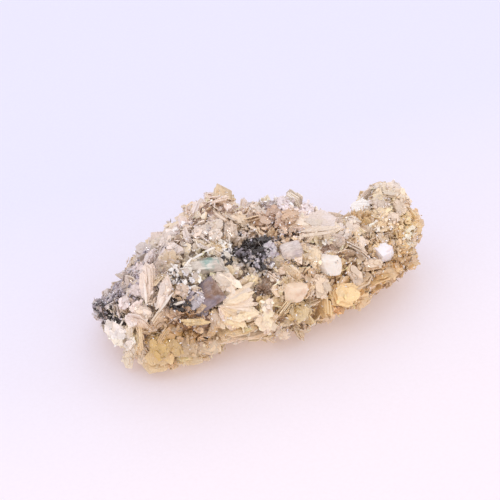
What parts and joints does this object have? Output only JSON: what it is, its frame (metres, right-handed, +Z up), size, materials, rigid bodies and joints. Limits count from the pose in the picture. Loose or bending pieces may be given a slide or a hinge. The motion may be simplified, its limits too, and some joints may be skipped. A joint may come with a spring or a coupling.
{
  "type": "mica mineral specimen",
  "caption": "Hand-sized rock specimen of pale mica books with black, grey, white and blue-green crystals set in it; rests on a flat underside.",
  "frame": {"origin": "middle of the base, on the surface that the specimen rests on", "axes": "+X along the specimen from its thick end to its narrow raised lobe, +Z up, -Y the front with the crystals"},
  "size_m": [0.1228, 0.063, 0.0417],
  "materials": {
    "mica": "pearly cleavage faces, cream to golden brown",
    "aquamarine": "clear pale blue-green crystal, striated",
    "smoky_quartz": "clear grey-brown crystal, glassy",
    "schorl": "black, striated, glossy",
    "albite": "white to cream, dull glassy"
  },
  "bodies": {
    "root": {"mica_cluster": "mica", "aquamarine_crystal": "aquamarine", "smoky_quartz_face": "smoky_quartz", "smoky_quartz_knot": "smoky_quartz", "schorl_seam": "schorl", "schorl_pocket": "schorl", "schorl_left_end": "schorl", "albite_wedge": "albite", "albite_right": "albite", "albite_block": "albite"}
  },
  "joints": []
}
